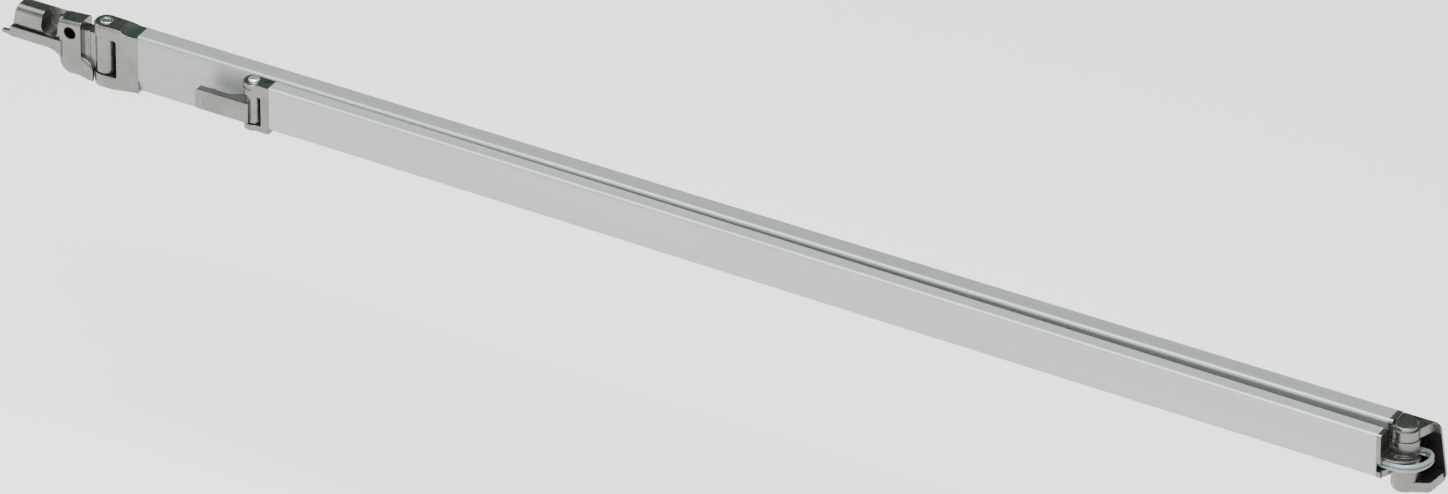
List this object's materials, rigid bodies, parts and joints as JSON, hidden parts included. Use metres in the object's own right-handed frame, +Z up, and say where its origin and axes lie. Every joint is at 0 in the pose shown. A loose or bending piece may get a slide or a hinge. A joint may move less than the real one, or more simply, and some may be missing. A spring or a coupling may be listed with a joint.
{
  "type": "folding awning arm",
  "caption": "Folding arm of an awning: two extruded arms on a cable-sprung elbow, a wall bracket at one end and a plate for the front bar at the other.",
  "frame": {"origin": "middle of the bracket's fixing hole", "axes": "+X along the folded arm towards the elbow, -Y the way the arm opens, +Z up; the fixing hole runs along Y"},
  "size_m": [1.6625, 0.0654, 0.0776],
  "materials": {
    "cast_metal": "satin polished die casting",
    "upper_extrusion": "satin anodised",
    "fore_extrusion": "satin anodised",
    "pin_steel": "polished steel",
    "pin_bright": "bright domed head",
    "screw_steel": "zinc plated",
    "spring_steel": "oiled spring steel",
    "bush_plastic": "black acetal",
    "cable_coat": "pale grey coating over steel strands"
  },
  "bodies": {
    "bracket": {"shoulder_bracket": "cast_metal", "shoulder_bushes": "bush_plastic"},
    "upper_arm": {"upper_arm_profile": "upper_extrusion", "shoulder_fork": "cast_metal", "shoulder_fork_screws": "screw_steel", "shoulder_pin": "pin_steel", "shoulder_circlip": "spring_steel", "spring_anchor": "spring_steel", "tension_spring": "spring_steel", "cable_upper": "cable_coat", "cable_lower": "cable_coat", "elbow_fork": "cast_metal", "elbow_fork_screws": "screw_steel", "elbow_pin": "pin_steel", "elbow_set_screw": "screw_steel"},
    "yoke": {"cable_yoke": "cast_metal"},
    "forearm": {"forearm_profile": "fore_extrusion", "elbow_knuckle": "cast_metal", "elbow_knuckle_screws": "screw_steel", "elbow_bushes": "bush_plastic", "cable_anchor": "spring_steel", "front_fork": "cast_metal", "front_fork_screws": "screw_steel", "front_pin": "pin_bright", "front_circlip": "spring_steel"},
    "connector": {"front_connector": "cast_metal", "connector_stud": "cast_metal", "front_bushes": "bush_plastic"}
  },
  "joints": [
    {"name": "shoulder_hinge", "type": "hinge", "parent": "bracket", "child": "upper_arm", "pos_m": [0.038, 0, -0.013], "axis": [0, 0, 1], "range_deg": [-58, 0]},
    {"name": "elbow_hinge", "type": "hinge", "parent": "upper_arm", "child": "forearm", "pos_m": [1.549, -0.0065, -0.013], "axis": [0, 0, 1], "range_deg": [0, 120], "deforming": ["cable_upper", "cable_lower"]},
    {"name": "front_hinge", "type": "hinge", "parent": "forearm", "child": "connector", "pos_m": [0.22782, -0.0224, -0.013], "axis": [0, 0, 1], "range_deg": [-62.8, 0]},
    {"name": "yoke_slide", "type": "slide", "parent": "upper_arm", "child": "yoke", "axis": [1, 0, 0], "range_m": [-0.057, 0], "deforming": ["tension_spring"]}
  ],
  "couplings": [
    {"joint": "shoulder_hinge", "follows": "elbow_hinge", "ratio": -0.48},
    {"joint": "front_hinge", "follows": "elbow_hinge", "ratio": -0.52},
    {"joint": "yoke_slide", "follows": "elbow_hinge", "m_per_rad": -0.027}
  ]
}
